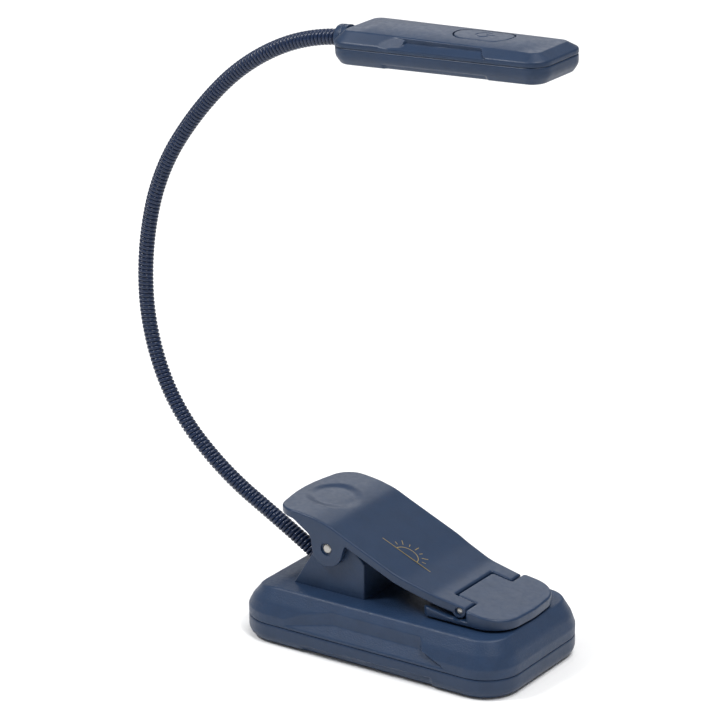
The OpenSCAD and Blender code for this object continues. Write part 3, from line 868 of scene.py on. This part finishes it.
for number in SPLIT_AT:
    dress(neck_core(number), neck_joints[number - 1]["parent"], neck_paint, "navy_neck")

# --- head ----------------------------------------------------------------------------------
neck_end, neck_angle = neck_line(9 * NECK_STEP)
HEAD_TILT = math.radians(neck_angle)
HEAD_ORIGIN = neck_end + HEAD_GAP * np.array([math.cos(HEAD_TILT), math.sin(HEAD_TILT)])


def at_head(verts):
    """From the head's own frame, along it from its rear face and up from its joint line, to the row frame."""
    u, y, w = verts.T
    x = HEAD_ORIGIN[0] + u * math.cos(HEAD_TILT) - w * math.sin(HEAD_TILT)
    z = HEAD_ORIGIN[1] + u * math.sin(HEAD_TILT) + w * math.cos(HEAD_TILT)
    return np.column_stack([x, y, z])


head_loop = rounded_box(HEAD_L, HEAD_HALF_W, HEAD_CORNER, 0.3)


def fold_height(u):
    return np.interp(u, [FOLD_INSET, HEAD_L - FOLD_INSET], HEAD_RISE)


def head_height(nominal):
    """Height of the upper shell's skin, where the nominal one has its fold at a fixed height."""
    def height(u, y):
        rise = (fold_height(u) - HEAD_BAND) / (HEAD_NOMINAL - HEAD_BAND)
        if nominal <= HEAD_BAND:
            return np.full_like(u, nominal)
        return HEAD_BAND + (nominal - HEAD_BAND) * rise + head_crown(u, y)
    return height


def head_crown(u, y):
    """How far the top is domed inside the fold."""
    ends = ramp(np.minimum(u - FOLD_INSET, HEAD_L - FOLD_INSET - u), -0.2, 6.5)
    across = np.clip(1 - (y / (HEAD_HALF_W - FOLD_INSET)) ** 2, 0, 1)
    return HEAD_CROWN * across * ends


def head_crest(u, y):
    """Top of the upper shell inside the fold."""
    return fold_height(u) + head_crown(u, y)


def head_groove(ring):
    """Carves the groove under the fold, on both sides of the upper head shell."""
    u, y, w = ring.T
    wall = np.full_like(u, HEAD_GROOVE_WALL)
    floor = HEAD_GROOVE_WALL * (w - 0.95) / 1.05
    rear = 1.0315 * w + 0.1012 * u - 2.45
    rear = np.where(u > 18.9, wall, rear)
    front = 1.6 * (np.maximum(39.9, 40.8 - 1.3 * (w - 1)) - u)
    depth = np.minimum.reduce([wall, floor, rear, front])
    depth = np.where((u > 13.2) & (u < 42) & (np.abs(y) > 6.5), depth, 0)
    now = HEAD_HALF_W - np.abs(y)
    return np.column_stack([u, np.sign(y) * (HEAD_HALF_W - np.maximum(now, depth)), w])


def head_recess(ring):
    """A shallow step low on both sides of the lower head shell."""
    u, y, w = ring.T
    depth = 0.5 * ramp(-2.6 - w, 0, 0.3) * ramp(u, 13.6, 14.6) * ramp(-u, -40.6, -39.8)
    depth = depth * ramp(np.abs(y), 6.9, 8.3)
    return np.column_stack([u, y - np.sign(y) * depth, w])


def pill(extra, pitch=0.4):
    return rounded_box(14 + 2 * extra, 4 + extra, 3.9 + extra, pitch, BUTTON_X - 7 - extra)


def neck_socket():
    """Cutter for the hole that the neck ends in."""
    way = np.array([math.cos(HEAD_TILT), math.sin(HEAD_TILT)])
    return along_neck_cutter(HEAD_ORIGIN - 2 * way, HEAD_ORIGIN + 3 * way, NECK_R + 0.1)


def head_top():
    outer = rounded([(0.3, 0, 0), (0.14, 0.07, 0), (0, 0.3, 0), (0, HEAD_BAND, 0.7),
                     (FOLD_INSET, HEAD_NOMINAL, 0.7), (FOLD_INSET + 0.9, HEAD_NOMINAL, 0)],
                    0.14, closed=False, turn=12)
    inner = [(2.6, 1.6), (1.9, 1.6), (1.3, 1.2), (1.2, 0)]
    rings = inner + [(d, head_height(w)) for d, w in outer[:-1]] + [(outer[-1][0], head_crest)]
    body = shell("head_top_shell", head_loop, rings, grids=(None, 0.35),
                 warp=(len(inner), len(rings) - 2, head_groove), place=at_head)
    hole = shell("cutter", pill(0.3), [(0, 1.0), (0, 8)], place=at_head)
    return combine(body, [hole, neck_socket()], "DIFFERENCE")


def head_bottom():
    outer = rounded([(3.3, -HEAD_DEPTH, 0), (1.35, -HEAD_DEPTH, 0.9), (0.08, -2.1, 2.2), (0.06, -0.3, 0),
                     (0.16, -0.08, 0), (0.3, 0, 0)], 0.16, closed=False, turn=12)
    inner = [(1.7, 0), (1.7, -2.4), (2.2, -2.85), (3, -2.85)]
    rings = [tuple(p) for p in outer] + inner
    body = shell("head_bottom_shell", head_loop, rings, warp=(1, len(outer) - 3, head_recess), place=at_head)
    lens_loop = rounded_box(40.1, 6.05, 2, 0.8, 9 - 0.05)
    cutters = [shell("cutter", lens_loop, [(0, -5), (0, -2)], place=at_head)]
    cutters.append(neck_socket())
    for u, y in ((7, 5.4), (50.9, 4.7)):
        for side in (-1, 1):
            cutters.append(shell("cutter", circle(u, side * y, 1.3), [(0, -5), (0, -3.45)], place=at_head))
    return combine(body, cutters, "DIFFERENCE")


def lens():
    """Frosted window with a soft edge and shallow cross prisms."""
    loop = rounded_box(39.96, 5.98, 1.95, 0.5, 9.02)

    def face(u, y):
        edge = ramp(np.minimum(5.9 - np.abs(y), np.minimum(u - 9.1, 48.9 - u)), 0.3, 1.2)
        return -3.82 + 0.1 * edge * (0.5 + 0.5 * np.cos(2 * math.pi * u / 1.0))

    rings = [(0.6, -2.95), (0, -2.95), (0, -3.75), (0.08, -3.86), (0.25, -3.9), (0.5, face)]
    return shell("light_window", loop, rings, grids=(None, 0.25), place=at_head)


def collar():
    """Turned collar with two fine steps where the neck enters the head."""
    profile = [(-3.0, 2.02), (-3.0, 2.55), (-2.85, 2.8), (-2.6, 2.92), (-1.5, 2.98),
               (-1.35, 2.86), (-1.15, 2.86), (-1.0, 2.98), (-0.05, 3.0), (-0.05, 2.02)]
    sides = 64
    verts, faces = [], []
    for u, radius in profile:
        for i in range(sides):
            a = 2 * math.pi * i / sides
            verts.append((u, radius * math.sin(a), radius * math.cos(a)))
    count = len(profile)
    for k in range(count):
        for i in range(sides):
            j, n = (i + 1) % sides, (k + 1) % count
            faces.append((k * sides + i, k * sides + j, n * sides + j, n * sides + i))
    return make_object("head_collar_turned", at_head(np.array(verts)), faces)


def button():
    """Pill button, its top following the head's, with a power sign sunk into it."""
    def face(u, y):
        du, dy = u - BUTTON_X, y
        ring = np.hypot(du, dy)
        angle = np.abs(np.degrees(np.arctan2(dy, du)))
        loop = np.where(angle > 34, np.abs(ring - 1.75), 9)
        stroke = np.hypot(np.maximum(np.abs(du - 1.55) - 0.85, 0), dy)
        line = np.minimum(loop, stroke)
        return head_crest(u, y) - 0.12 * (1 - ramp(line, 0.1, 0.26))

    rings = [(0.5, 1.8), (0, 1.8)]
    for drop, back in ((0.25, 0), (0.12, 0.04), (0.04, 0.12), (0, 0.25)):
        rings.append((back, lambda u, y, d=drop: head_crest(u, y) - d))
    rings.append((0.5, face))
    return shell("power_button_cap", pill(0), rings, grids=(None, 0.13), place=at_head)


dress(head_top(), "head", shell_plastic, "navy_shell", "head_top")
dress(head_bottom(), "head", shell_plastic, "navy_shell", "head_bottom")
dress(lens(), "head", frosted, "diffuser", "lens")
dress(collar(), "head", shell_plastic, "navy_shell", "head_collar")
dress(button(), "button", shell_plastic, "navy_shell", "power_button")


# --- carried-over CAD pieces ---------------------------------------------------------------
def repaint(node, finish):
    """Gives a CAD node a finished material in place of its plain colour."""
    mesh = frame["nodes"][node].data
    mesh.materials.clear()
    mesh.materials.append(finish)


carried_over = {
    "base_screws": steel,
    "head_screws": steel,
    "battery": foil,
    "charge_board": board_green,
    "charge_socket": steel,
    "charge_light_pipe": frosted,
    "base_leads": lead_red,
    "head_leads": lead_red,
    "neck_root_collar": dark_plastic,
    "led_board": board_green,
    "leds": phosphor,
    "button_switch": dark_plastic,
}
for node, finish in carried_over.items():
    repaint(node, finish)

# --- floor, lights and camera --------------------------------------------------------------
white = material("floor_white", (0.93, 0.93, 0.93), 0.85)[0]
bpy.ops.mesh.primitive_plane_add(size=8)
floor = bpy.context.object
floor.name = "floor"
floor.data.materials.append(white)

scene = bpy.context.scene
scene.view_settings.view_transform = "Standard"
world = bpy.data.worlds.new("studio")
scene.world = world
world.use_nodes = True
world.node_tree.nodes["Background"].inputs["Color"].default_value = (1, 1, 1, 1)
world.node_tree.nodes["Background"].inputs["Strength"].default_value = 0.33


def softbox(name, place, target, size, power):
    """Square area light that faces a point; all in metres."""
    data = bpy.data.lights.new(name, "AREA")
    data.shape = "RECTANGLE"
    data.size, data.size_y = size
    data.energy = power
    lamp = bpy.data.objects.new(name, data)
    lamp.location = place
    lamp.rotation_euler = (Vector(target) - Vector(place)).to_track_quat("-Z", "Y").to_euler()
    scene.collection.objects.link(lamp)


aim = Vector((-0.01006, -0.00614, 0.06869))    # the point that the lights and the camera face
softbox("rear", (-0.42, 0.63, 0.44), aim, (0.5, 0.3), 0.75)
softbox("front_left", (-0.37, -0.35, 0.68), aim, (0.16, 0.16), 3.6)
softbox("front_right", (0.40, -0.22, 0.71), aim, (0.12, 0.12), 1.9)
key_data = bpy.data.lights.new("key", "SUN")
key_data.angle = math.radians(42)
key_data.energy = 1.7
key = bpy.data.objects.new("key", key_data)
key.rotation_euler = Vector((0.25, 0.08, 0.96)).to_track_quat("Z", "Y").to_euler()
scene.collection.objects.link(key)

camera_data = bpy.data.cameras.new("camera")
camera_data.sensor_width = 36
camera_data.lens = 178.05
camera = bpy.data.objects.new("camera", camera_data)
azimuth, elevation, distance = math.radians(33.65), math.radians(19.68), 0.8
level = math.cos(elevation)
back = Vector((math.sin(azimuth) * level, -math.cos(azimuth) * level, math.sin(elevation)))
camera.location = aim + back * distance
camera.rotation_euler = (-back).to_track_quat("-Z", "Y").to_euler()
camera_data.clip_end = 20
scene.collection.objects.link(camera)
scene.camera = camera
